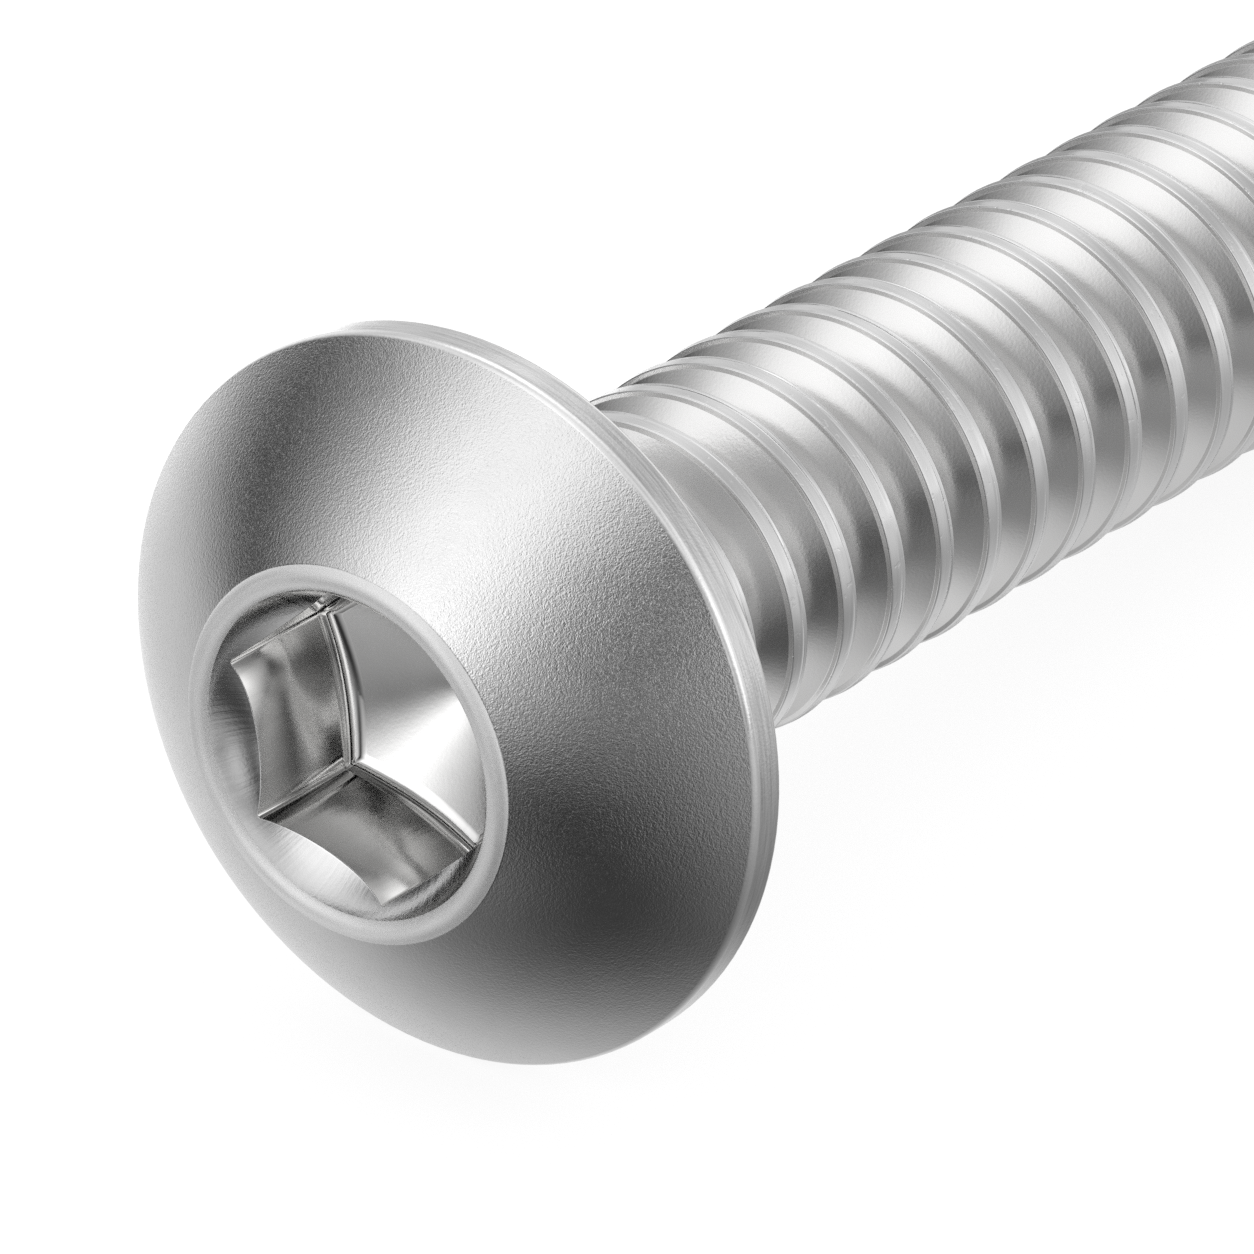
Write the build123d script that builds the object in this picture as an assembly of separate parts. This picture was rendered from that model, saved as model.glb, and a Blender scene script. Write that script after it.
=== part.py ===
from build123d import *
from build123d.topology import SkipClean
import os
from math import cos, hypot, pi, radians, sin, sqrt, tan

# ---------------------------------------------------------------------------
# Button head socket screw, No. 10-24 UNC x 1 in, one forged and rolled piece.
# Millimetres. The screw is drawn on its own axis first (a = 0 is the bearing
# plane under the head, a grows toward the tip), then laid on its side as it
# comes to rest: the head's rim and the last thread crest touch z = 0.
# ---------------------------------------------------------------------------

# thread
major_r = 4.826 / 2          # No. 10 major diameter
pitch = 25.4 / 24            # 24 threads per inch, right-handed
crest_w = 0.299              # flat on the crest, at the major diameter
flank_deg = 30.0             # half angle of the thread form
root_r = 1.86                # bottom of the rounded root
crest_at_0 = 0.43671         # a of the crest's tip-side edge at angle 0

# shank
length = 25.4                # bearing plane to tip
tip_chamfer = 0.66           # 45 degree lead-in at the tip
neck_r = 2.10                # rolled blank, left plain under the head
neck_end = 0.90              # a where the neck starts to run down to the root
run_end = 1.75               # a where that run-out meets the root
crest_start = 1.5499         # a where the crest first has its full height
under_fillet = 0.35          # under the head

# head
head_r = 9.66 / 2
rim_front = -0.533           # a of the dome's edge on the rim
rim_front_round = 0.10
rim_back_round = 0.12
dome_r = 12.5                # radius of the dome's arc
mouth_mid = (1.096, -2.970)  # centre of the bowl-shaped lead-in's arc (r, a)
mouth_round = 1.19
mouth_from = 59.5            # angles on that arc: inside the hexagon's wall ...
mouth_to = 26.5              # ... and where it runs into the lip, at a tangent
lip_round = 0.175            # the lip's rounded bead
lip_end = -19.5              # angle on the bead where the dome starts

# hex socket
socket_af = 3.57             # for a 9/64 in key
socket_corner = 0.12         # radius of the six corners
floor_corner = -0.35         # a of the floor at the corners of the hexagon
floor_fillet = 0.14
floor_slope = 25.0           # degrees, deeper toward the axis
hex_turn = 44.4633           # angle of one corner of the hexagon

# rest
rest_tilt = 5.66559          # degrees the axis dips toward the tip


def middle(p, q, radius, side):
    """The point half way along the arc of this radius from p to q, in (r, a)."""
    half = hypot(q[0] - p[0], q[1] - p[1]) / 2
    rise = radius - sqrt(radius * radius - half * half)
    nx, ny = (q[1] - p[1]) / (2 * half), -(q[0] - p[0]) / (2 * half)
    return ((p[0] + q[0]) / 2 + side * rise * nx, (p[1] + q[1]) / 2 + side * rise * ny)


def line(p, q):
    return Line((p[0], 0, p[1]), (q[0], 0, q[1]))


def arc(p, m, q):
    return ThreePointArc((p[0], 0, p[1]), (m[0], 0, m[1]), (q[0], 0, q[1]))


def corner(centre, radius, deg):
    return (
        centre[0] + radius * cos(radians(deg)),
        centre[1] + radius * sin(radians(deg)),
    )


def profile(edges):
    return Face(Wire(edges))


# --- head and neck, turned about the axis ----------------------------------
rim_edge = (head_r, rim_front)
lip_mid = corner(mouth_mid, mouth_round + lip_round, mouth_to)
lip_in = corner(mouth_mid, mouth_round, mouth_to)
lip_top = corner(lip_mid, lip_round, -90)
dome_out = corner(lip_mid, lip_round, lip_end)
mouth = corner(mouth_mid, mouth_round, mouth_from)
mouth_half = corner(mouth_mid, mouth_round, (mouth_from + mouth_to) / 2)
back = (head_r - rim_back_round, -rim_back_round)
under = (neck_r + under_fillet, under_fillet)
core_r = root_r - 0.04       # the neck's core runs on inside the thread
core_end = 2.6

head = revolve(
    profile([
        line((0, mouth[1]), mouth),
        arc(mouth, mouth_half, lip_in),
        arc(lip_in, lip_top, dome_out),
        arc(dome_out, middle(dome_out, rim_edge, dome_r, 1), rim_edge),
        line(rim_edge, corner(back, rim_back_round, 0)),
        arc(
            corner(back, rim_back_round, 0),
            corner(back, rim_back_round, 45),
            corner(back, rim_back_round, 90),
        ),
        line(corner(back, rim_back_round, 90), corner(under, under_fillet, -90)),
        arc(
            corner(under, under_fillet, -90),
            corner(under, under_fillet, -135),
            corner(under, under_fillet, 180),
        ),
        line(corner(under, under_fillet, 180), (neck_r, neck_end)),
        line((neck_r, neck_end), (core_r, run_end + 0.14)),
        line((core_r, run_end + 0.14), (core_r, core_end)),
        line((core_r, core_end), (0, core_end)),
        line((0, core_end), (0, mouth[1])),
    ]),
    Axis.Z,
    360,
)
print("head", round(head.volume, 3), head.is_valid)

# the dome's edge on the rim is a small round
front = [
    e
    for e in head.edges().filter_by(GeomType.CIRCLE)
    if abs(e.radius - head_r) < 1e-6 and abs(e.center().Z - rim_front) < 1e-6
]
head = fillet(front, rim_front_round)
print("rounded", round(head.volume, 3), head.is_valid)

# --- hex socket -------------------------------------------------------------
corner_r = socket_af / sqrt(3)
six = Polyline(
    *[
        (corner_r * cos(radians(hex_turn + 60 * i)), corner_r * sin(radians(hex_turn + 60 * i)))
        for i in range(6)
    ],
    close=True,
)
hexagon = make_face(six)
hexagon = fillet(hexagon.vertices(), socket_corner)
prism = extrude(Plane.XY.offset(-4.0) * hexagon, 6.0)
slope = tan(radians(floor_slope))
apex = floor_corner + corner_r * slope
floor = revolve(
    profile([
        line((0, -5.0), (3.0, -5.0)),
        line((3.0, -5.0), (3.0, floor_corner - (3.0 - corner_r) * slope)),
        line((3.0, floor_corner - (3.0 - corner_r) * slope), (0, apex)),
        line((0, apex), (0, -5.0)),
    ]),
    Axis.Z,
    360,
)
socket = prism & floor
low = [e for e in socket.edges() if e.center().Z > -1.5 and e.bounding_box().min.Z > -1.2]
socket = fillet(low, floor_fillet)
head = head - socket
print("head with socket", round(head.volume, 3), head.is_valid)

# --- threaded rod ------------------------------------------------------------
# The groove has straight 30 degree flanks and a round root.
flank = tan(radians(flank_deg))
gap_w = pitch - crest_w
sharp_r = major_r - gap_w / 2 / flank        # where the flanks would meet
root_round = root_r - sharp_r
centre_r = sharp_r + 2 * root_round
outer_r = major_r + 0.09                     # the cut runs out past the crest
half_out = gap_w / 2 + (outer_r - major_r) * flank
foot = corner((centre_r, 0), root_round, 120)
groove = profile([
    line((outer_r, -half_out), (foot[0], -foot[1])),
    arc((foot[0], -foot[1]), (root_r, 0), foot),
    line(foot, (outer_r, half_out)),
    line((outer_r, half_out), (outer_r, -half_out)),
])

# The turned blank that the groove is cut in: a run-in cone under the head, the
# major diameter, and the lead-in at the tip.
rod_start = 0.75
blank = profile([
    line((0, rod_start), (core_r, rod_start)),
    line((core_r, rod_start), (major_r, crest_start)),
    line((major_r, crest_start), (major_r, length - tip_chamfer)),
    line((major_r, length - tip_chamfer), (major_r - tip_chamfer, length)),
    line((major_r - tip_chamfer, length), (0, length)),
    line((0, length), (0, rod_start)),
])

# It is made a tenth of a turn at a time: each wedge of the blank is crossed
# by one short stretch of the groove per pitch, and the wedges join into one.
parts_of_turn = 10
wedge_deg = 360 / parts_of_turn
first_wedge = 35.65                          # angle where the first wedge starts
lap = 8.0                                    # the stretches reach past the wedge
stretch = pitch * (wedge_deg + 2 * lap) / 360
below = -pitch * lap / 360
path = Helix(pitch, stretch, centre_r, center=(0, 0, below))
cut = sweep(Pos(0, 0, below) * groove, path=path, is_frenet=True)
cut = cut.rotate(Axis.Z, -lap)

groove_at_0 = crest_at_0 + gap_w / 2
wedges = []
for i in range(parts_of_turn):
    turn = first_wedge + wedge_deg * i
    wedge = revolve(blank, Axis.Z, wedge_deg).rotate(Axis.Z, turn)
    a = groove_at_0 + pitch * turn / 360
    while a > rod_start - pitch - gap_w / 2:
        a -= pitch
    cuts = []
    while a < length + gap_w:
        cuts.append(Pos(0, 0, a) * cut.rotate(Axis.Z, turn))
        a += pitch
    with SkipClean():
        wedges.append(wedge.cut(*cuts))
with SkipClean():
    rod = wedges[0].fuse(*wedges[1:])
    screw = rod.fuse(head)
print("rod", round(rod.volume, 3), rod.is_valid, len(rod.solids()))
print("screw", round(screw.volume, 3), screw.is_valid, len(screw.solids()), len(screw.faces()))

# --- laid on its side, origin at the middle of its box's foot ---------------
tilt = radians(rest_tilt)
lying = Plane(
    origin=(0, 0, 0), x_dir=(sin(tilt), 0, cos(tilt)), z_dir=(cos(tilt), 0, -sin(tilt))
)
screw = lying.location * screw
box = screw.bounding_box()
shift = (-(box.min.X + box.max.X) / 2, -(box.min.Y + box.max.Y) / 2, -box.min.Z)
screw = Pos(*shift) * screw
print("bearing centre", shift)
print("box", screw.bounding_box())

os.makedirs("parts", exist_ok=True)
screw.label = "screw"
export_step(screw, "parts/screw.step")
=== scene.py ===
import bpy
import math
import numpy as np
from mathutils import Matrix, Vector


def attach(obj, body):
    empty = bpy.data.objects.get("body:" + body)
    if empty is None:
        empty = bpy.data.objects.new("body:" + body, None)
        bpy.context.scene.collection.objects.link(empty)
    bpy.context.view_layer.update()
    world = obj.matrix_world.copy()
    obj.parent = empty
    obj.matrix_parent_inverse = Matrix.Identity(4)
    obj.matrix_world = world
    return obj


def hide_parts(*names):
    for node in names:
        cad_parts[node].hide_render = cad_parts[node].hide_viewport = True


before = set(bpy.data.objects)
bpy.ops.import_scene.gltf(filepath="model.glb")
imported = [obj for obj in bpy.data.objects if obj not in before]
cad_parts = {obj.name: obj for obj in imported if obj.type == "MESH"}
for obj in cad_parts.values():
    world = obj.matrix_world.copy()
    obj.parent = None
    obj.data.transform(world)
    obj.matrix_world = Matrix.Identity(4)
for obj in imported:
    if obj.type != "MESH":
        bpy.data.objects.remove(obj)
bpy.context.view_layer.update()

# ---------------------------------------------------------------------------
# The screw's own frame: a runs along the axis from the bearing plane (a = 0)
# towards the tip, angles are about the axis from "up". Millimetres.
# ---------------------------------------------------------------------------
TILT = math.radians(5.66559)
BEARING = np.array([-11.347889, 0.0, 4.795204])
AXIS = np.array([math.cos(TILT), 0.0, -math.sin(TILT)])
UP = np.array([math.sin(TILT), 0.0, math.cos(TILT)])
SIDE = np.cross(AXIS, UP)

MAJOR = 2.413
PITCH = 25.4 / 24
CREST = 0.299
ROOT = 1.86
CREST_AT_0 = 0.43671
LENGTH = 25.4
CHAMFER = 0.66
NECK = 2.10

HEAD_R = 4.83
HEX_TURN = math.radians(44.4633)
HEX_IN = 3.57 / 2
HEX_CORNER = 0.08
HEX_OUT = 3.57 / math.sqrt(3)


def unit_angles():
    """Angles round the screw: fine at the corners of the hexagon, even between."""
    half = [0.0, 0.5, 1.0, 1.6, 2.4, 3.8, 6.0, 8.8, 11.8, 14.9, 18.0, 21.1, 24.1, 27.1]
    one = [-x for x in half[:0:-1]] + half + [30.0]
    one = sorted(one)
    out = []
    for i in range(6):
        out += [math.radians(60 * i + x) + HEX_TURN for x in one]
    return np.array(out)


THETA = unit_angles()
N = len(THETA)


def hex_radius(theta):
    """Distance from the axis to the wall of the hexagon, its corners rounded."""
    phi = (theta - HEX_TURN + math.pi / 6) % (math.pi / 3) - math.pi / 6
    wall = HEX_IN / np.cos(math.pi / 6 - np.abs(phi))
    d = (HEX_IN - HEX_CORNER) / math.cos(math.pi / 6)
    reach = math.atan2(HEX_CORNER * 0.5, d + HEX_CORNER * math.cos(math.pi / 6))
    s2 = np.maximum(HEX_CORNER**2 - (d * np.sin(phi)) ** 2, 0)
    arc = d * np.cos(phi) + np.sqrt(s2)
    return np.where(np.abs(phi) < reach, arc, wall)


# --- the socket, from the middle of its floor out to the lead-in ------------
FLOOR_CORNER = -0.35
FLOOR_SLOPE = math.tan(math.radians(25))
FLOOR_FILLET = 0.34
EDGE = 0.03


def direction(deg):
    return np.array([math.cos(math.radians(deg)), math.sin(math.radians(deg))])


def circle_point(c, r, deg):
    return np.array(c) + r * direction(deg)


def angle_of(v):
    return math.degrees(math.atan2(v[1], v[0]))


# the bowl-shaped lead-in is an arc that runs into the lip's bead at a tangent
MOUTH_C = np.array([1.096, -2.970])
MOUTH_R = 1.19
MOUTH_TO = 26.5
MOUTH_AT = 2.064             # the scalloped part ends at this radius
LIP_R = 0.175
LIP = circle_point(MOUTH_C, MOUTH_R + LIP_R, MOUTH_TO)


def mouth_height(r):
    return MOUTH_C[1] + np.sqrt(MOUTH_R**2 - (r - MOUTH_C[0]) ** 2)


def mouth_lean(r):
    return np.arcsin((r - MOUTH_C[0]) / MOUTH_R)


def socket_rows(theta):
    """Rows of (r, a, dr, da), each one array over the angles."""
    R = hex_radius(theta)
    one = np.ones_like(theta)
    s, f = FLOOR_SLOPE, FLOOR_FILLET
    dull = 0.6

    def floor(r):
        straight = FLOOR_CORNER + s * (HEX_OUT - r)
        bowl = FLOOR_CORNER + s * (HEX_OUT - dull) + s * (dull**2 - r**2) / (2 * dull)
        return np.where(r < dull, bowl, straight), np.where(r < dull, -s * r / dull, -s)

    rows = []
    cr, ca = R - f, FLOOR_CORNER + s * (HEX_OUT - (R - f)) - f * math.sqrt(1 + s * s)
    foot = cr + f * math.sin(math.radians(25))
    for t in (0.04, 0.12, 0.22, 0.34, 0.46, 0.58, 0.70, 0.82, 0.92, 1.0):
        r = foot * t
        a, da = floor(r)
        n = np.sqrt(1 + da * da)
        rows.append((r, a, one / n, da / n))
    for k in range(1, 8):
        w = math.radians(65 * (1 - k / 7))
        rows.append((cr + f * math.cos(w), ca + f * math.sin(w), one * math.sin(w), -one * math.cos(w)))
    lean = mouth_lean(R)
    edge_a = mouth_height(R) + EDGE * np.tan((math.pi / 2 - lean) / 2)
    for k in range(1, 7):
        rows.append((R, ca + (edge_a - ca) * k / 6, one * 0, -one))
    for k in range(1, 5):
        w = (math.pi / 2 - lean) * k / 4
        rows.append((R + EDGE * (1 - np.cos(w)), edge_a - EDGE * np.sin(w), np.sin(w), -np.cos(w)))
    r0 = rows[-1][0]
    for k in range(1, 5):
        r = r0 + (MOUTH_AT - r0) * k / 4
        t = mouth_lean(r)
        rows.append((r, mouth_height(r), np.cos(t), -np.sin(t)))
    return rows


# --- the turned outside of the head, one profile ----------------------------
DOME_R = 12.5
RIM_EDGE = np.array([4.83, -0.533])
DOME_OUT = np.array([2.462, -2.432])


def dome_centre():
    chord = RIM_EDGE - DOME_OUT
    half = np.linalg.norm(chord) / 2
    n = np.array([-chord[1], chord[0]]) / (2 * half)
    if n[1] < 0:
        n = -n
    return (RIM_EDGE + DOME_OUT) / 2 + n * math.sqrt(DOME_R**2 - half**2)


def two_circles(c0, r0, c1, r1, prefer):
    d = np.linalg.norm(c1 - c0)
    x = (d * d + r0 * r0 - r1 * r1) / (2 * d)
    y = math.sqrt(max(r0 * r0 - x * x, 0))
    e = (c1 - c0) / d
    n = np.array([-e[1], e[0]])
    pts = [c0 + e * x + n * y, c0 + e * x - n * y]
    return min(pts, key=lambda p: np.linalg.norm(p - prefer))


def head_path():
    """Segments of the profile: lines and arcs that meet at a tangent."""
    dc = dome_centre()
    start = math.degrees(math.acos((MOUTH_AT - MOUTH_C[0]) / MOUTH_R))
    segs = [("A", MOUTH_C, MOUTH_R, start, MOUTH_TO, 6)]
    # the lip's bead
    fr = 0.035
    fc = two_circles(LIP, LIP_R + fr, dc, DOME_R + fr, DOME_OUT + np.array([0.05, -0.05]))
    a_out = angle_of(fc - LIP)
    segs.append(("A", LIP, LIP_R, MOUTH_TO + 180, a_out + 360, 14))
    # concave round into the dome
    b0 = angle_of(LIP - fc)
    b1 = angle_of(dc - fc)
    segs.append(("A", fc, fr, b0 % 360, b1 % 360, 5))
    # dome
    rf = 0.17
    c_r = RIM_EDGE[0] - rf
    c_a = dc[1] - math.sqrt((DOME_R - rf) ** 2 - (c_r - dc[0]) ** 2)
    rc = np.array([c_r, c_a])
    g0 = angle_of(fc - dc) % 360
    g1 = angle_of(rc - dc) % 360
    segs.append(("A", dc, DOME_R, g0, g1, 18))
    segs.append(("A", rc, rf, g1, 360.0, 8))
    rb = 0.12
    segs.append(("L", rc + np.array([rf, 0]), np.array([HEAD_R, -rb]), 4))
    segs.append(("A", np.array([HEAD_R - rb, -rb]), rb, 0.0, 90.0, 6))
    segs.append(("L", np.array([HEAD_R - rb, 0.0]), np.array([NECK + 0.35, 0.0]), 4))
    segs.append(("A", np.array([NECK + 0.35, 0.35]), 0.35, 270.0, 180.0, 6))
    segs.append(("L", np.array([NECK, 0.35]), np.array([NECK, 0.60]), 2))
    return segs


def rows_of(segs, first=False):
    """Points and tangents along the segments; each starts where the last ended."""
    out = []
    for s in segs:
        if s[0] == "L":
            _, p, q, n = s
            p, q = np.array(p), np.array(q)
            t = (q - p) / np.linalg.norm(q - p)
            if first:
                out.append((p, t))
            for k in range(1, n + 1):
                out.append((p + (q - p) * k / n, t))
        else:
            _, c, r, a0, a1, n = s
            sign = 1 if a1 > a0 else -1
            for k in range(0 if first else 1, n + 1):
                w = a0 + (a1 - a0) * k / n
                out.append((circle_point(c, r, w), sign * direction(w + 90)))
        first = False
    return out


# --- the thread --------------------------------------------------------------
# Half the section of one groove, from its middle (u = 0) to the middle of the
# crest (u = PITCH / 2): a round root, a straight flank, a small concave round,
# a steep rim that rolling leaves under the crest, and the rim's rounded edge.
RIM_LEAN = math.radians(5)
RIM_UP = 0.045
RIM_FOOT = 0.026
CREST_ROUND = 0.026
ROOT_ROUND = 0.105
CROWN = 0.012                # the middle of the crest stands this much over its edges
SEAM = 0.062                 # the rolled seam lies this far tipward of the middle
SEAM_DEEP = 0.010
SEAM_WIDE = 0.011
GAP = PITCH - CREST
GAP_MID = CREST_AT_0 + GAP / 2


def groove_points(lean):
    """Where the pieces of the half section meet, for a flank at this lean."""
    s2, c2, s1, c1 = math.sin(lean), math.cos(lean), math.sin(RIM_LEAN), math.cos(RIM_LEAN)
    top = MAJOR - CROWN
    p4 = np.array([GAP / 2 + CREST_ROUND * math.tan((math.pi / 2 - RIM_LEAN) / 2), top])
    p3 = p4 - CREST_ROUND * np.array([c1, 1 - s1])
    p2 = p3 - RIM_UP * np.array([s1, c1])
    p1 = p2 - RIM_FOOT * np.array([c1 - c2, s2 - s1])
    p0 = np.array([ROOT_ROUND * c2, ROOT + ROOT_ROUND * (1 - s2)])
    return p0, p1, p2, p3, p4


def solve_flank():
    low, high = math.radians(20), math.radians(45)
    for _ in range(60):
        lean = (low + high) / 2
        p0, p1 = groove_points(lean)[:2]
        if math.atan2(p1[0] - p0[0], p1[1] - p0[1]) > lean:
            low = lean
        else:
            high = lean
    return lean


FLANK_LEAN = solve_flank()
P0, P1, P2, P3, P4 = groove_points(FLANK_LEAN)


def seam_strength(turns):
    """The seam comes and goes along the thread."""
    w = 2 * math.pi * turns
    v = 0.62 + 0.30 * np.sin(2.31 * w + 0.4) + 0.22 * np.sin(5.17 * w + 1.9) + 0.14 * np.sin(11.3 * w + 0.7)
    return np.clip(v, 0.12, 1.0)


def seam_place(turns):
    w = 2 * math.pi * turns
    return SEAM + 0.008 * np.sin(1.63 * w + 2.2) + 0.005 * np.sin(4.71 * w)


def thread_form(a, theta):
    """Radius of the thread at a point along the screw and an angle round it."""
    u = a - GAP_MID - PITCH * theta / (2 * math.pi)
    signed = (u + PITCH / 2) % PITCH - PITCH / 2
    u = np.abs(signed)
    s2, c2, s1, c1 = math.sin(FLANK_LEAN), math.cos(FLANK_LEAN), math.sin(RIM_LEAN), math.cos(RIM_LEAN)
    r = ROOT + ROOT_ROUND - np.sqrt(np.maximum(ROOT_ROUND**2 - u * u, 0))
    r = np.where(u > P0[0], P0[1] + (u - P0[0]) * c2 / s2, r)
    foot = P1 + RIM_FOOT * np.array([-c2, s2])
    r = np.where(u > P1[0], foot[1] - np.sqrt(np.maximum(RIM_FOOT**2 - (u - foot[0]) ** 2, 0)), r)
    low = (u > P1[0]) & (u > foot[0] + RIM_FOOT * c1)
    r = np.where(low, P2[1] + (u - P2[0]) * c1 / s1, r)
    edge = P3 + CREST_ROUND * np.array([c1, -s1])
    r = np.where(u > P3[0], edge[1] + np.sqrt(np.maximum(CREST_ROUND**2 - (u - edge[0]) ** 2, 0)), r)
    # the crest: slightly crowned, with the seam
    across = np.where(signed > 0, signed - PITCH / 2, signed + PITCH / 2)
    wide = PITCH / 2 - P4[0]
    turns = (a - CREST_AT_0) / PITCH
    y = np.clip(1 - (across / wide) ** 2, 0, 1)
    top = MAJOR - CROWN + CROWN * y * y * (3 - 2 * y)
    top = top - SEAM_DEEP * seam_strength(turns) * np.exp(-(((across - seam_place(turns)) / SEAM_WIDE) ** 2))
    return np.where(u > P4[0], top, r)


TIP_A = LENGTH - CHAMFER
THREAD_0 = 0.60
THREAD_1 = 25.33


def soft_min(x, y, k):
    h = np.clip(0.5 + 0.5 * (y - x) / k, 0, 1)
    return y * (1 - h) + x * h - k * h * (1 - h)


def thread_radius(theta, a):
    r = thread_form(a, theta)
    g = np.clip((a - 0.62) / 1.15, 0, 1)
    g = g * g * (3 - 2 * g)
    r = NECK + (r - NECK) * g
    return soft_min(r, MAJOR - (a - TIP_A), 0.05)


def pitch_stations():
    """Where the rows of one pitch lie, from the middle of the groove, and their zones."""
    c1, c2, s1, s2 = math.cos(RIM_LEAN), math.cos(FLANK_LEAN), math.sin(RIM_LEAN), math.sin(FLANK_LEAN)
    foot = P1[0] - RIM_FOOT * c2
    half = (RIM_LEAN + FLANK_LEAN) / 2
    m1 = foot + RIM_FOOT * math.cos(half)
    edge = P3[0] + CREST_ROUND * c1
    m3 = edge - CREST_ROUND * math.sin((math.pi / 2 - RIM_LEAN) / 2)
    seam = PITCH / 2 + SEAM
    rows = [
        (0.0, "groove"), (P0[0], "groove"), (P1[0], "groove"), (m1, "groove"), (P2[0], "rim_line"),
        (P3[0], "crest"), (m3, "crest"), (P4[0], "crest"), (PITCH / 2, "crest"),
        (seam - 0.018, "crest"), (seam, "crest"), (seam + 0.018, "crest"),
        (PITCH - P4[0], "crest"), (PITCH - m3, "crest"), (PITCH - P3[0], "rim_line"),
        (PITCH - P2[0], "groove"), (PITCH - P1[0], "groove"), (PITCH - P0[0], "groove"),
    ]
    return [x for x, _ in rows], [z for _, z in rows]


def local_to_world(r, theta, a):
    """Metres, in the row frame."""
    c, s = np.cos(theta), np.sin(theta)
    p = (
        BEARING[None, :]
        + (r * c)[:, None] * UP[None, :]
        + (r * s)[:, None] * SIDE[None, :]
        + a[:, None] * AXIS[None, :]
    )
    return p / 1000.0


def vector_to_world(vr, vt, va, theta):
    c, s = np.cos(theta), np.sin(theta)
    x, y = vr * c - vt * s, vr * s + vt * c
    v = x[:, None] * UP[None, :] + y[:, None] * SIDE[None, :] + va[:, None] * AXIS[None, :]
    return v / np.linalg.norm(v, axis=1)[:, None]


verts, normals, faces, zones = [], [], [], []
own, turned = [], []
count = 0


def add_vertices(r, theta, a, vr, vt, va):
    global count
    verts.append(local_to_world(r, theta, a))
    own.append(np.stack([r * np.cos(theta), r * np.sin(theta), a], 1))
    turned.append(np.stack([np.cos(theta), np.sin(theta), a + r], 1))
    normals.append(vector_to_world(vr, vt, va, theta))
    first = count
    count += len(r)
    return first


def ring_normals(rows_plus, rows_minus, row, eps):
    """Outward normal of each point of a row, from its tangent and its change with the angle."""
    (rp, ap), (rm, am) = rows_plus, rows_minus
    r, a, tr, ta = row
    dr, da = (rp - rm) / (2 * eps), (ap - am) / (2 * eps)
    # dS/dtheta = dr e_r + r e_t + da e_a ; T = tr e_r + ta e_a
    return r * ta, da * tr - dr * ta, -r * tr


EPS = 1e-5
grid = socket_rows(THETA)
grid_p = socket_rows(THETA + EPS)
grid_m = socket_rows(THETA - EPS)
rings = []
one = np.ones(N)
socket_zone = ["floor"] * 10 + ["fillet"] * 7 + ["wall"] * 6 + ["brink"] * 4 + ["lead"] * 4
for k, row in enumerate(grid):
    n = ring_normals(grid_p[k][:2], grid_m[k][:2], row, EPS)
    rings.append((add_vertices(row[0], THETA, row[1], *n), socket_zone[k]))
SOCKET_ROWS = len(rings)

path = head_path()
names = []
labels = ["lead", "lip", "dome", "dome", "edge", "rim", "rimback", "under", "under", "neck"]
for seg, label in zip(path, labels):
    n_rows = seg[-1]
    names += [label] * n_rows
for (p, t), label in zip(rows_of(path), names):
    r, a = one * p[0], one * p[1]
    rings.append((add_vertices(r, THETA, a, one * t[1], one * 0, -one * t[0]), label))

# thread rows, following the helix
stations, station_zone = pitch_stations()
NP = len(stations)
TH = (THETA - THETA[0]) / (2 * math.pi)
base0 = GAP_MID + PITCH * THETA[0] / (2 * math.pi)
k0 = math.floor((THREAD_0 - PITCH - base0) / PITCH)
rows_a = []
k = k0
while True:
    for s in stations:
        rows_a.append(base0 + k * PITCH + s)
    k += 1
    if base0 + k * PITCH > THREAD_1:
        break
rows_a = np.array(rows_a)
M = len(rows_a)
start_ring = rings[-1][0]

A = rows_a[:, None] + PITCH * TH[None, :]
near = 0.012
low, high = A <= THREAD_0 + near, A >= THREAD_1 - near
ident = np.full((M + NP, N), -1, dtype=np.int64)
mid = ~(low | high)
T2 = np.broadcast_to(THETA[None, :], A.shape)
a_mid, t_mid = A[mid], T2[mid]
r_mid = thread_radius(t_mid, a_mid)
e = 1e-5
da_ = (thread_radius(t_mid, a_mid + e) - thread_radius(t_mid, a_mid - e)) / (2 * e)
dt_ = (thread_radius(t_mid + e, a_mid) - thread_radius(t_mid - e, a_mid)) / (2 * e)
first = add_vertices(r_mid, t_mid, a_mid, np.ones_like(r_mid), -dt_ / r_mid, -da_)
ident[:M][mid] = first + np.arange(len(a_mid))
# the ring at the end of the thread, on the lead-in cone
r_end = thread_radius(THETA, one * THREAD_1)
end_ring = add_vertices(r_end, THETA, one * THREAD_1, one, one * 0, one)
cols = np.broadcast_to(np.arange(N)[None, :], A.shape)
ident[:M][low] = start_ring + cols[low]
ident[:M][high] = end_ring + cols[high]
ident[M:] = end_ring + np.arange(N)[None, :]

# tip: the rest of the lead-in, its rounded corner, and the end
tip_round = 0.07
cone_end = np.array([MAJOR - CHAMFER, LENGTH])
cut = tip_round * math.tan(math.radians(22.5))
q0 = cone_end + cut * direction(-45)
tc = q0 + tip_round * direction(225)
tip_path = [
    ("L", np.array([r_end[0], THREAD_1]), q0, 1),
    ("A", tc, tip_round, 45.0, 90.0, 4),
    ("L", cone_end - np.array([cut, 0]), np.array([0.06, LENGTH]), 8),
]
tip_rings = [end_ring]
tip_zone = []
for seg, label in zip(tip_path, ["tip", "tipedge", "end"]):
    tip_zone += [label] * seg[-1]
for p, t in rows_of(tip_path):
    tip_rings.append(add_vertices(one * p[0], THETA, one * p[1], one * t[1], one * 0, -one * t[0]))

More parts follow.
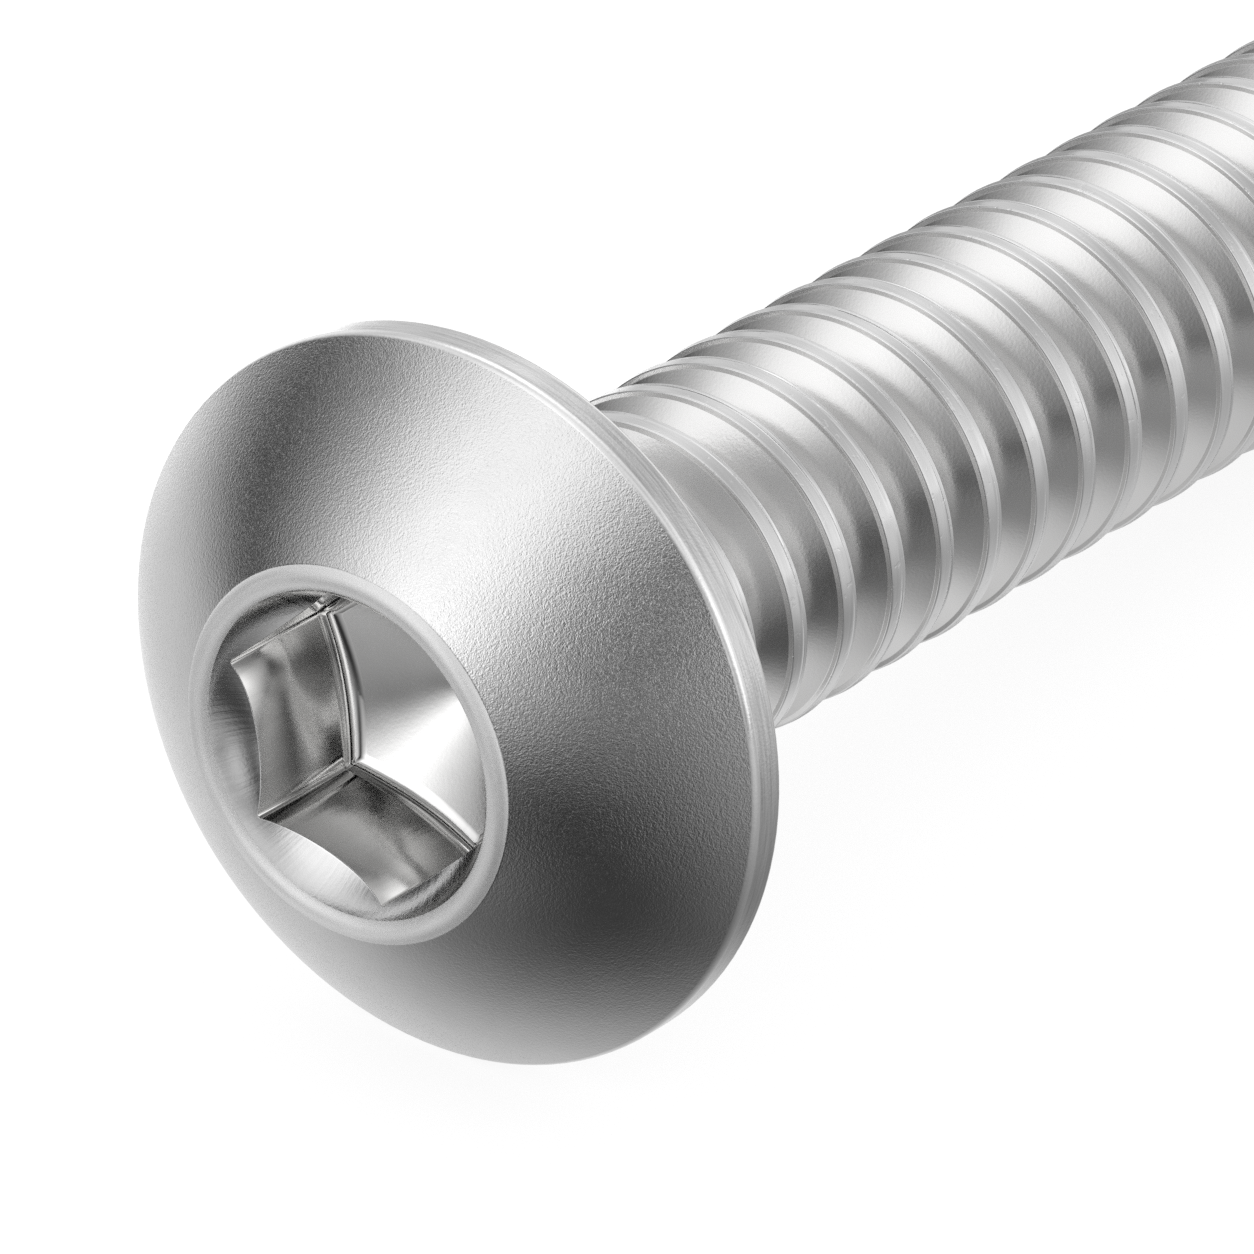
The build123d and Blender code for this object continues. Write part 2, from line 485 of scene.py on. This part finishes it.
pole_floor = add_vertices(np.zeros(1), np.zeros(1), np.array([FLOOR_CORNER + FLOOR_SLOPE * (HEX_OUT - 0.3)]), np.zeros(1), np.zeros(1), -np.ones(1))
pole_tip = add_vertices(np.zeros(1), np.zeros(1), np.array([LENGTH]), np.zeros(1), np.zeros(1), np.ones(1))


def quad(a, b, c, d, zone):
    f = []
    for v in (a, b, c, d):
        if not f or f[-1] != v:
            f.append(v)
    if len(f) > 1 and f[0] == f[-1]:
        f.pop()
    if len(set(f)) >= 3:
        faces.append(f)
        zones.append(zone)


for (r0, _), (r1, zone) in zip(rings[:-1], rings[1:]):
    for j in range(N):
        k = (j + 1) % N
        quad(r0 + j, r0 + k, r1 + k, r1 + j, zone)
for j in range(N):
    k = (j + 1) % N
    faces.append([pole_floor, rings[0][0] + k, rings[0][0] + j])
    zones.append("floor")
for m in range(M - 1):
    zone = station_zone[m % NP]
    for j in range(N):
        if j < N - 1:
            q = (ident[m, j], ident[m, j + 1], ident[m + 1, j + 1], ident[m + 1, j])
        else:
            q = (ident[m, j], ident[m + NP, 0], ident[m + 1 + NP, 0], ident[m + 1, j])
        quad(*[int(x) for x in q], zone)
for (r0, r1, zone) in zip(tip_rings[:-1], tip_rings[1:], tip_zone):
    for j in range(N):
        k = (j + 1) % N
        quad(r0 + j, r0 + k, r1 + k, r1 + j, zone)
for j in range(N):
    k = (j + 1) % N
    faces.append([tip_rings[-1] + j, tip_rings[-1] + k, pole_tip])
    zones.append("end")

verts = np.concatenate(verts)
normals = np.concatenate(normals)
own, turned = np.concatenate(own), np.concatenate(turned)
used = np.zeros(len(verts), bool)
for f in faces:
    used[f] = True
new = np.cumsum(used) - 1
faces = [[int(new[v]) for v in f] for f in faces]
verts, normals, own, turned = verts[used], normals[used], own[used], turned[used]
mesh = bpy.data.meshes.new("screw_body")
mesh.from_pydata(verts.tolist(), [], faces)
mesh.validate(verbose=True)
for p in mesh.polygons:
    p.use_smooth = True
mesh.normals_split_custom_set_from_vertices(normals.tolist())
for label, values in (("own_mm", own), ("turn", turned)):
    layer = mesh.attributes.new(label, "FLOAT_VECTOR", "POINT")
    layer.data.foreach_set("vector", values.astype(np.float32).ravel())
screw = bpy.data.objects.new("screw_body", mesh)
bpy.context.scene.collection.objects.link(screw)

# ---------------------------------------------------------------------------
# Finish: one kind of steel, worked differently on each part of the screw; the edges carry a lighter colour as a painted
# highlight, and the socket walls a lighter colour as painted light.
# ---------------------------------------------------------------------------


class Nodes:
    def __init__(self, tree):
        self.tree = tree

    def add(self, kind, **values):
        node = self.tree.nodes.new(kind)
        for key, value in values.items():
            setattr(node, key, value)
        return node

    def link(self, a, b):
        self.tree.links.new(a, b)

    def put(self, socket, value):
        if hasattr(value, "is_output"):
            self.link(value, socket)
        else:
            socket.default_value = value

    def math(self, op, a, b=None, c=None, clamp=False):
        node = self.add("ShaderNodeMath", operation=op, use_clamp=clamp)
        for i, value in enumerate((a, b, c)):
            if value is not None:
                self.put(node.inputs[i], value)
        return node.outputs[0]

    def noise(self, vector, scale, detail=2.0, rough=0.5, w=None, distortion=0.0):
        node = self.add("ShaderNodeTexNoise", noise_dimensions="4D" if w is not None else "3D")
        self.put(node.inputs["Vector"], vector)
        if w is not None:
            self.put(node.inputs["W"], w)
        node.inputs["Scale"].default_value = scale
        node.inputs["Detail"].default_value = detail
        node.inputs["Roughness"].default_value = rough
        node.inputs["Distortion"].default_value = distortion
        return node.outputs["Fac"]

    def spread(self, value, low, high, to_low, to_high, smooth=False):
        node = self.add("ShaderNodeMapRange", interpolation_type="SMOOTHSTEP" if smooth else "LINEAR")
        self.put(node.inputs["Value"], value)
        for name, v in (("From Min", low), ("From Max", high), ("To Min", to_low), ("To Max", to_high)):
            node.inputs[name].default_value = v
        return node.outputs["Result"]

    def tint(self, fac, dark, light):
        node = self.add("ShaderNodeMix", data_type="RGBA")
        self.put(node.inputs["Factor"], fac)
        node.inputs["A"].default_value = (*dark, 1)
        node.inputs["B"].default_value = (*light, 1)
        return node.outputs["Result"]

    def bump(self, height, distance, normal=None):
        node = self.add("ShaderNodeBump")
        node.inputs["Strength"].default_value = 1.0
        node.inputs["Distance"].default_value = distance
        self.link(height, node.inputs["Height"])
        if normal is not None:
            self.link(normal, node.inputs["Normal"])
        return node.outputs["Normal"]


def steel(name):
    mat = bpy.data.materials.new(name)
    mat.use_nodes = True
    n = Nodes(mat.node_tree)
    bsdf = mat.node_tree.nodes["Principled BSDF"]
    bsdf.inputs["Metallic"].default_value = 1.0
    place = n.add("ShaderNodeAttribute", attribute_name="own_mm").outputs["Vector"]
    turn = n.add("ShaderNodeAttribute", attribute_name="turn")
    return mat, n, bsdf, place, turn


def streak_coordinates(n, turn, along, across):
    """4D coordinates that change slowly round the axis and fast along the profile."""
    sep = n.add("ShaderNodeSeparateXYZ")
    n.link(turn.outputs["Vector"], sep.inputs[0])
    comb = n.add("ShaderNodeCombineXYZ")
    n.link(n.math("MULTIPLY", sep.outputs[0], along), comb.inputs[0])
    n.link(n.math("MULTIPLY", sep.outputs[1], along), comb.inputs[1])
    return comb.outputs[0], n.math("MULTIPLY", sep.outputs[2], across)


def blasted():
    """The fine even grain of the head's outside."""
    mat, n, bsdf, place, turn = steel("stainless")
    coarse = n.noise(place, 24.0, 1.0, 0.5)
    fine = n.noise(place, 52.0, 1.0, 0.5)
    height = n.math("MULTIPLY_ADD", fine, 1.05, coarse)
    cloud = n.noise(place, 1.3, 3.0, 0.55)
    n.link(n.bump(height, 0.0000035), bsdf.inputs["Normal"])
    n.link(n.spread(n.math("MULTIPLY_ADD", fine, 0.6, cloud), 0.5, 1.1, 0.175, 0.215), bsdf.inputs["Roughness"])
    n.link(n.tint(n.spread(cloud, 0.35, 0.65, 0, 1), (0.715, 0.715, 0.715), (0.755, 0.755, 0.755)), bsdf.inputs["Base Color"])
    return mat


def rim_steel():
    """The rim of the head: the same grain, with turning marks that run round it."""
    mat, n, bsdf, place, turn = steel("stainless_rim")
    ring, w = streak_coordinates(n, turn, 5.0, 26.0)
    lines = n.noise(ring, 1.0, 3.0, 0.6, w=w)
    coarse = n.noise(place, 25.0, 1.0, 0.5)
    height = n.math("MULTIPLY_ADD", lines, 0.35, coarse)
    n.link(n.bump(height, 0.0000030), bsdf.inputs["Normal"])
    n.link(n.spread(lines, 0.3, 0.7, 0.17, 0.24), bsdf.inputs["Roughness"])
    n.link(n.tint(n.spread(lines, 0.36, 0.60, 0, 1), (0.58, 0.58, 0.58), (0.78, 0.78, 0.78)), bsdf.inputs["Base Color"])
    return mat


def edge_highlight_steel():
    """The head's front edge: the steel is made lighter there, a painted highlight that makes the edge read as a bright
    line.
    """
    mat, n, bsdf, place, turn = steel("stainless_edge_highlight")
    ring, w = streak_coordinates(n, turn, 6.0, 20.0)
    lines = n.noise(ring, 1.0, 2.0, 0.5, w=w)
    grain = n.noise(place, 27.0, 1.0, 0.5)
    n.link(n.bump(n.math("MULTIPLY_ADD", lines, 0.5, grain), 0.0000014), bsdf.inputs["Normal"])
    n.link(n.spread(grain, 0.3, 0.7, 0.14, 0.20), bsdf.inputs["Roughness"])
    # painted highlight: a much lighter colour than the dome's, on the head's front edge and the socket's brink
    n.link(n.tint(n.spread(lines, 0.3, 0.7, 0, 1), (0.86, 0.86, 0.86), (0.93, 0.93, 0.93)), bsdf.inputs["Base Color"])
    return mat


def satin():
    """The rolled lip round the socket: soft, with faint marks that run round it."""
    mat, n, bsdf, place, turn = steel("stainless_lip")
    bsdf.inputs["Metallic"].default_value = 0.90
    ring, w = streak_coordinates(n, turn, 3.0, 12.0)
    lines = n.noise(ring, 1.0, 2.0, 0.5, w=w)
    grain = n.noise(place, 22.0, 2.0, 0.6)
    n.link(n.bump(n.math("MULTIPLY_ADD", lines, 0.4, grain), 0.0000018), bsdf.inputs["Normal"])
    n.link(n.spread(n.math("ADD", grain, lines), 0.7, 1.3, 0.54, 0.62), bsdf.inputs["Roughness"])
    n.link(n.tint(n.spread(lines, 0.35, 0.65, 0, 1), (0.90, 0.90, 0.90), (0.95, 0.95, 0.95)), bsdf.inputs["Base Color"])
    return mat


def mouth_steel():
    """The lead-in: fine tool marks that run down towards the hexagon."""
    mat, n, bsdf, place, turn = steel("stainless_mouth")
    sep = n.add("ShaderNodeSeparateXYZ")
    n.link(turn.outputs["Vector"], sep.inputs[0])
    comb = n.add("ShaderNodeCombineXYZ")
    n.link(n.math("MULTIPLY", sep.outputs[0], 30.0), comb.inputs[0])
    n.link(n.math("MULTIPLY", sep.outputs[1], 30.0), comb.inputs[1])
    marks = n.noise(comb.outputs[0], 1.0, 3.0, 0.6, w=n.math("MULTIPLY", sep.outputs[2], 0.8))
    grain = n.noise(place, 22.0, 1.0, 0.5)
    n.link(n.bump(n.math("MULTIPLY_ADD", grain, 0.35, marks), 0.0000030), bsdf.inputs["Normal"])
    n.link(n.spread(marks, 0.3, 0.7, 0.17, 0.24), bsdf.inputs["Roughness"])
    n.link(n.tint(n.spread(marks, 0.3, 0.7, 0, 1), (0.68, 0.68, 0.68), (0.78, 0.78, 0.78)), bsdf.inputs["Base Color"])
    return mat


def drawn():
    """The walls of the hexagon: lighter steel than the rest, painted light that lifts the shade inside the socket, with
    a few marks from the punch.
    """
    mat, n, bsdf, place, turn = steel("stainless_wall")
    squeeze = n.add("ShaderNodeMapping")
    squeeze.inputs["Scale"].default_value = (6.0, 6.0, 0.7)
    n.link(place, squeeze.inputs["Vector"])
    marks = n.noise(squeeze.outputs["Vector"], 1.0, 1.0, 0.45, distortion=0.3)
    smear = n.noise(place, 2.0, 1.0, 0.5)
    n.link(n.bump(n.math("MULTIPLY_ADD", smear, 1.3, marks), 0.0000010), bsdf.inputs["Normal"])
    n.link(n.spread(n.math("ADD", marks, smear), 0.7, 1.3, 0.06, 0.09), bsdf.inputs["Roughness"])
    # painted light: the walls and fillets get a lighter colour than the rest of the steel to lift the shade in the
    # socket
    n.link(n.tint(n.spread(smear, 0.35, 0.65, 0, 1), (0.855, 0.852, 0.845), (0.905, 0.903, 0.898)), bsdf.inputs["Base Color"])
    return mat


def floor_steel():
    """The floor of the socket: smooth and satin."""
    mat, n, bsdf, place, turn = steel("stainless_floor")
    ring, w = streak_coordinates(n, turn, 2.2, 5.0)
    lines = n.noise(ring, 1.0, 2.0, 0.5, w=w)
    grain = n.noise(place, 20.0, 1.0, 0.5)
    n.link(n.bump(n.math("MULTIPLY_ADD", grain, 0.5, lines), 0.0000010), bsdf.inputs["Normal"])
    n.link(n.spread(lines, 0.3, 0.7, 0.14, 0.18), bsdf.inputs["Roughness"])
    n.link(n.tint(n.spread(lines, 0.35, 0.65, 0, 1), (0.785, 0.783, 0.778), (0.825, 0.823, 0.818)), bsdf.inputs["Base Color"])
    return mat


def rolled():
    """The flanks and roots of the thread, and the neck: smooth."""
    mat, n, bsdf, place, turn = steel("stainless_thread")
    ring, w = streak_coordinates(n, turn, 2.5, 9.0)
    lines = n.noise(ring, 1.0, 3.0, 0.6, w=w)
    grain = n.noise(place, 24.0, 1.0, 0.5)
    cloud = n.noise(place, 1.8, 3.0, 0.6)
    n.link(n.bump(n.math("MULTIPLY_ADD", lines, 0.5, grain), 0.0000008), bsdf.inputs["Normal"])
    n.link(n.spread(cloud, 0.3, 0.7, 0.18, 0.21), bsdf.inputs["Roughness"])
    n.link(n.tint(n.spread(cloud, 0.3, 0.7, 0, 1), (0.735, 0.732, 0.728), (0.755, 0.753, 0.750)), bsdf.inputs["Base Color"])
    return mat


def turned():
    """The bearing face and the tip's end: turning marks in rings, and a duller grain."""
    mat, n, bsdf, place, turn = steel("stainless_turned")
    ring, w = streak_coordinates(n, turn, 1.2, 13.0)
    lines = n.noise(ring, 1.0, 2.0, 0.55, w=w)
    cloud = n.noise(place, 1.6, 3.0, 0.6)
    grain = n.noise(place, 26.0, 1.0, 0.5)
    n.link(n.bump(n.math("MULTIPLY_ADD", lines, 1.2, grain), 0.0000018), bsdf.inputs["Normal"])
    n.link(n.spread(n.math("ADD", cloud, lines), 0.7, 1.3, 0.24, 0.32), bsdf.inputs["Roughness"])
    n.link(n.tint(n.spread(lines, 0.3, 0.7, 0, 1), (0.52, 0.52, 0.52), (0.66, 0.66, 0.66)), bsdf.inputs["Base Color"])
    return mat


def crest_finish():
    """The crest: polished by the rolls, fine lines that follow the thread, and a few nicks."""
    mat, n, bsdf, place, turn = steel("stainless_crest")
    ring, w = streak_coordinates(n, turn, 1.6, 22.0)
    lines = n.noise(ring, 1.0, 2.0, 0.55, w=w)
    nicks = n.noise(place, 9.0, 2.0, 0.5)
    height = n.math("MULTIPLY_ADD", n.spread(nicks, 0.62, 0.75, 0, 1, True), -1.5, lines)
    n.link(n.bump(height, 0.0000012), bsdf.inputs["Normal"])
    n.link(n.spread(lines, 0.3, 0.7, 0.13, 0.19), bsdf.inputs["Roughness"])
    n.link(n.tint(n.spread(lines, 0.3, 0.7, 0, 1), (0.73, 0.73, 0.73), (0.80, 0.80, 0.80)), bsdf.inputs["Base Color"])
    return mat


finishes = [blasted, edge_highlight_steel, rim_steel, satin, mouth_steel, drawn, floor_steel, rolled, turned, crest_finish]
finish_of = {
    "floor": floor_steel, "fillet": drawn, "wall": drawn, "brink": edge_highlight_steel, "lead": mouth_steel, "ring": mouth_steel,
    "lip": satin, "dome": blasted, "edge": edge_highlight_steel, "rim": rim_steel, "rimback": rolled,
    "under": turned, "neck": rolled, "groove": rolled, "rim_line": rolled, "crest": crest_finish,
    "tip": rolled, "tipedge": rolled, "end": turned,
}
for make in finishes:
    mesh.materials.append(make())
for p, zone in zip(mesh.polygons, zones):
    p.material_index = finishes.index(finish_of[zone])

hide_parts("screw")
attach(screw, "root")

# --- camera --------------------------------------------------------------------
CAM_FROM_BEARING = np.array([-92.79096994, -72.4097984269, 75.1067291763])
cam_x = Vector((0.6019235771971784, -0.7985536971388665, 0.0))
cam_y = Vector((0.426002237129355, 0.3211065096631955, 0.8458207277033977))
cam_z = Vector((-0.6754332692242345, -0.5091194381867496, 0.5334672404068453))
cam_data = bpy.data.cameras.new("camera")
cam_data.sensor_fit = "HORIZONTAL"
cam_data.sensor_width = 36.0
cam_data.lens = 323.83
cam_data.clip_start = 0.005
cam_data.clip_end = 50.0
cam = bpy.data.objects.new("camera", cam_data)
bpy.context.scene.collection.objects.link(cam)
loc = (BEARING + CAM_FROM_BEARING) / 1000.0
rot = Matrix((cam_x, cam_y, cam_z)).transposed().to_4x4()
cam.matrix_world = Matrix.Translation(Vector(loc)) @ rot
bpy.context.scene.camera = cam

# --- floor -----------------------------------------------------------------------
bpy.ops.mesh.primitive_plane_add(size=6.0, location=(0, 0, 0))
floor = bpy.context.object
floor.name = "floor"
fm = bpy.data.materials.new("white_table")
fm.use_nodes = True
fb = fm.node_tree.nodes["Principled BSDF"]
fb.inputs["Base Color"].default_value = (0.3, 0.3, 0.3, 1)
fb.inputs["Roughness"].default_value = 1.0
fb.inputs["Specular IOR Level"].default_value = 0.0
fb.inputs["Emission Color"].default_value = (1, 1, 1, 1)
fb.inputs["Emission Strength"].default_value = 0.8
floor.data.materials.append(fm)
# the floor is hidden from reflections; the glowing sheet below paints what they see of it
floor.visible_glossy = False

# --- studio: soft boxes and dark cards round the screw -------------------------------
# azimuth and elevation in degrees, sharpness, strength (a dark card is negative)
AMBIENT = 0.001
STUDIO = [
    (176.8, 21.3, 23.97, 1.58),
    (143.7, 35.5, 11.18, 1.69),
    (-139.6, 24.0, 24.00, -1.65),
    (-137.7, 8.5, 23.94, -1.96),
    (115.7, 29.3, 11.13, -1.78),
    (66.6, 6.9, 8.92, 1.08),
    (9.8, -11.6, 10.12, 0.44),
    (-31.0, -12.5, 9.33, 1.26),
    (4.6, 102.9, 2.37, -1.05),
    (118.0, 21.3, 18.96, 1.48),
    (-137.3, 15.4, 13.24, 3.23),
    (-79.3, 20.6, 17.42, 1.19),
    (0.5, 59.5, 12.41, 1.19),
    (11.6, 16.3, 16.63, 0.97),
    (-100.9, 52.4, 16.79, 0.94),
    (92.8, 41.7, 17.36, 1.22),
    (-78.5, -6.6, 22.94, 0.84),
    (38.7, 47.3, 23.61, 1.37),
    (149.4, -16.3, 15.83, 0.99),
    (-169.9, 52.0, 15.66, 1.28),
    (-47.9, 33.3, 10.39, 0.98),
    (124.9, 68.1, 9.37, 1.33),
    (-111.1, 80.4, 10.72, 1.03),
    (28.6, 4.1, 14.23, 0.28),
]
# the table under it as the metal sees it reflected, spots of painted light and painted shade (a
# negative strength is painted shade): x, y, size, strength, in millimetres drawn in
# towards the middle the farther away they lie
TABLE_BASE = 0.103
TABLE = [
    (-8.25, 3.22, 3.01, -1.37),
    (-9.22, -0.69, 3.56, 0.79),
    (-9.19, -4.73, 3.05, -0.46),
    (-3.87, -2.04, 2.09, -1.11),
    (-8.45, 3.14, 2.00, 1.48),
    (-8.47, 8.18, 2.78, 0.40),
    (-6.07, -10.56, 4.43, 0.20),
    (-0.16, -7.79, 3.23, -0.11),
    (-2.85, -1.97, 2.00, 1.75),
    (-2.67, 1.51, 2.46, 0.85),
    (-3.04, 5.72, 3.15, 0.63),
    (-2.06, 11.79, 2.01, 0.43),
    (-0.58, -16.00, 4.52, 0.48),
    (1.27, -5.96, 2.62, 0.37),
    (1.78, -1.26, 3.09, -0.98),
    (0.68, 0.23, 3.29, -0.39),
    (3.33, 5.62, 2.47, 2.15),
    (3.09, 13.72, 2.25, 0.78),
    (9.31, -10.42, 3.47, 0.57),
    (2.01, -1.61, 2.00, 1.53),
    (6.05, -1.64, 2.28, 0.80),
    (6.30, 10.10, 2.52, 2.55),
    (15.99, -7.30, 2.53, 1.36),
    (14.46, 1.12, 3.55, 0.93),
]
TABLE_X = -8.0
TABLE_REACH = 15.0
DARKEST = 0.03

world = bpy.data.worlds.new("studio")
bpy.context.scene.world = world
world.use_nodes = True
w = Nodes(world.node_tree)
back = world.node_tree.nodes["Background"]
direction_out = w.add("ShaderNodeTexCoord").outputs["Generated"]
total = None
for az, el, sharp, strength in STUDIO:
    az, el = math.radians(az), math.radians(el)
    dot = w.add("ShaderNodeVectorMath", operation="DOT_PRODUCT")
    w.link(direction_out, dot.inputs[0])
    dot.inputs[1].default_value = (math.cos(el) * math.cos(az), math.cos(el) * math.sin(az), math.sin(el))
    e = w.math("EXPONENT", w.math("MULTIPLY_ADD", dot.outputs["Value"], sharp, -sharp))
    total = w.math("MULTIPLY_ADD", e, strength, AMBIENT if total is None else total)
glow = w.math("MAXIMUM", total, DARKEST)
rays = w.add("ShaderNodeLightPath")
w.link(w.math("MULTIPLY_ADD", rays.outputs["Is Glossy Ray"], w.math("SUBTRACT", glow, 1.0), 1.0), back.inputs["Strength"])
back.inputs["Color"].default_value = (1, 1, 1, 1)

# the painted reflection is a glowing sheet just under the floor, which only the metal's reflections see: painted light
# and painted shade that stand in for the floor
bpy.ops.mesh.primitive_plane_add(size=0.3, location=(TABLE_X / 1000, 0, -0.00005))
sheet = bpy.context.object
sheet.name = "painted_table_reflection"
sheet.visible_camera = False
sheet.visible_diffuse = False
sheet.visible_shadow = False
sheet.visible_transmission = False
sheet_mat = bpy.data.materials.new("painted_table_reflection")
sheet_mat.use_nodes = True
g = Nodes(sheet_mat.node_tree)
g.tree.nodes.remove(g.tree.nodes["Principled BSDF"])
emit = g.add("ShaderNodeEmission")
g.link(emit.outputs[0], g.tree.nodes["Material Output"].inputs["Surface"])
local = g.add("ShaderNodeVectorMath", operation="SCALE")
g.link(g.add("ShaderNodeTexCoord").outputs["Object"], local.inputs[0])
local.inputs["Scale"].default_value = 1000.0
reach = g.add("ShaderNodeVectorMath", operation="DOT_PRODUCT")
g.link(local.outputs[0], reach.inputs[0])
g.link(local.outputs[0], reach.inputs[1])
shrink = g.math("INVERSE_SQRT", g.math("MULTIPLY_ADD", reach.outputs["Value"], 1 / TABLE_REACH**2, 1.0))
drawn_in = g.add("ShaderNodeVectorMath", operation="SCALE")
g.link(local.outputs[0], drawn_in.inputs[0])
g.link(shrink, drawn_in.inputs["Scale"])
total = None
for x, y, size, strength in TABLE:
    off = g.add("ShaderNodeVectorMath", operation="SUBTRACT")
    g.link(drawn_in.outputs[0], off.inputs[0])
    off.inputs[1].default_value = (x, y, 0)
    square = g.add("ShaderNodeVectorMath", operation="DOT_PRODUCT")
    g.link(off.outputs[0], square.inputs[0])
    g.link(off.outputs[0], square.inputs[1])
    e = g.math("EXPONENT", g.math("MULTIPLY", square.outputs["Value"], -0.5 / size**2))
    total = g.math("MULTIPLY_ADD", e, strength, TABLE_BASE if total is None else total)
g.link(g.math("MAXIMUM", total, DARKEST), emit.inputs["Strength"])
sheet.data.materials.append(sheet_mat)
bpy.context.scene.view_settings.view_transform = "Standard"
bpy.context.scene.cycles.use_denoising = False
